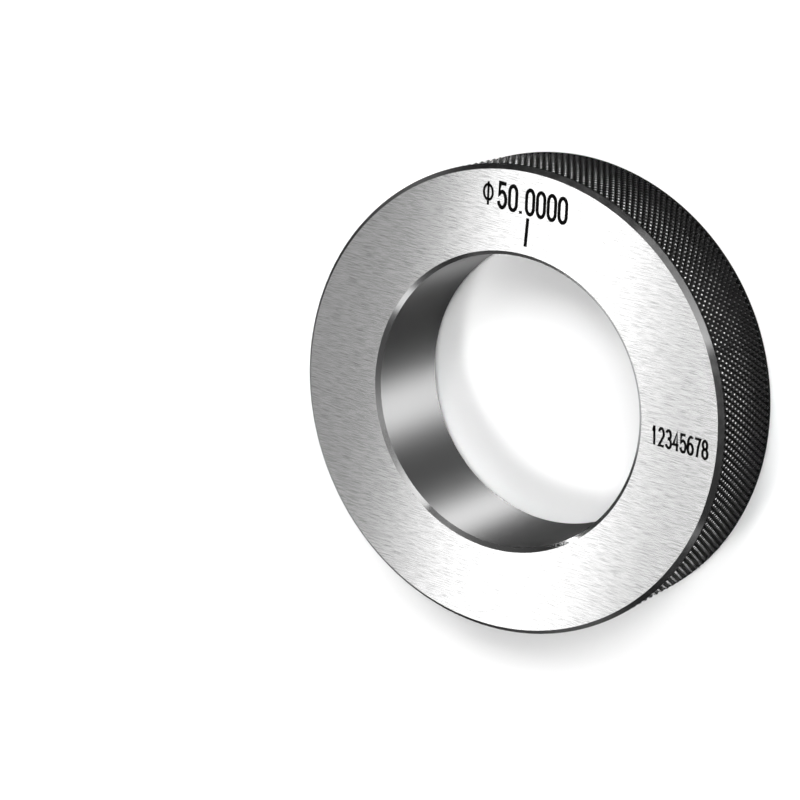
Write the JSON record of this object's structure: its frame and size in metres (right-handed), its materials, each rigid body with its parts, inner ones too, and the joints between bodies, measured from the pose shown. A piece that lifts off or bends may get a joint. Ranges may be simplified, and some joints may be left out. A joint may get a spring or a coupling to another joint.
{
  "type": "plain ring gauge",
  "caption": "Steel setting ring gauge with a lapped through bore, flat ground faces, chamfered edges and a diamond-knurled rim.",
  "frame": {"origin": "centre of the bore in the plane of the back face, which the ring lies on", "axes": "+Z along the bore axis, out of the marked front face; +Y towards the index mark on that face; +X to the right as the face is read"},
  "size_m": [0.08, 0.08, 0.019],
  "materials": {
    "gauge_steel": "hardened tool steel: ground and brushed faces, lapped bore, blackened knurled rim"
  },
  "bodies": {
    "root": {"ring": "gauge_steel"}
  },
  "joints": []
}
